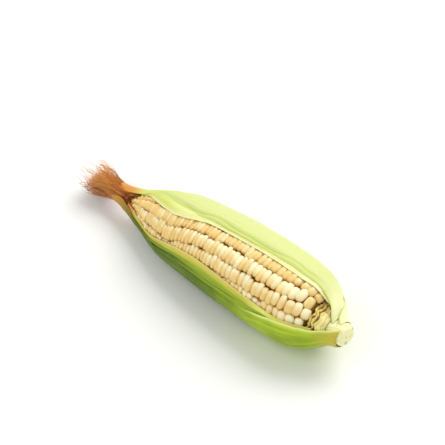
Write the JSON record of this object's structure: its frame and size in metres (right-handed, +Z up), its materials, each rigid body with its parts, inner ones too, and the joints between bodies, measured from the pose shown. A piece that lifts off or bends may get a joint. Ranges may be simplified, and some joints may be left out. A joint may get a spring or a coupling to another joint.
{
  "type": "corn cob",
  "caption": "Ear of white corn lying in its green husk, which is opened on one side to show the kernels, with dried silk at the tip and a cut stalk.",
  "frame": {"origin": "middle of the box that holds the ear, on the surface that it lies on", "axes": "+X along the ear toward the cut stalk, -Y the near side that the open husk leans toward, +Z up"},
  "size_m": [0.266, 0.0619, 0.0624],
  "materials": {
    "kernels": "waxy cream kernels with a soft shine",
    "shank": "pale cut stalk, matte and slightly moist",
    "silk": "dry brown silk threads",
    "leaf_green": "bright green husk leaf, satin, ribbed along its length",
    "leaf_dark_green": "green husk leaf, satin, ribbed along its length",
    "leaf_olive": "thin olive inner husk leaf, satin, translucent",
    "leaf_pale": "smooth pale inner husk leaf, satin",
    "torn_leaf": "crumpled olive brown leaf base, matte"
  },
  "bodies": {
    "root": {"kernel_ear": "kernels", "shank": "shank", "silk_tuft": "silk", "husk_near_inner": "leaf_olive", "husk_near_middle": "leaf_dark_green", "husk_near_outer": "leaf_green", "husk_far_lip": "leaf_olive", "husk_far_inner": "leaf_pale", "husk_far_outer": "leaf_green", "torn_leaf_stub_1": "torn_leaf", "torn_leaf_stub_2": "torn_leaf", "torn_leaf_stub_3": "torn_leaf"}
  },
  "joints": []
}
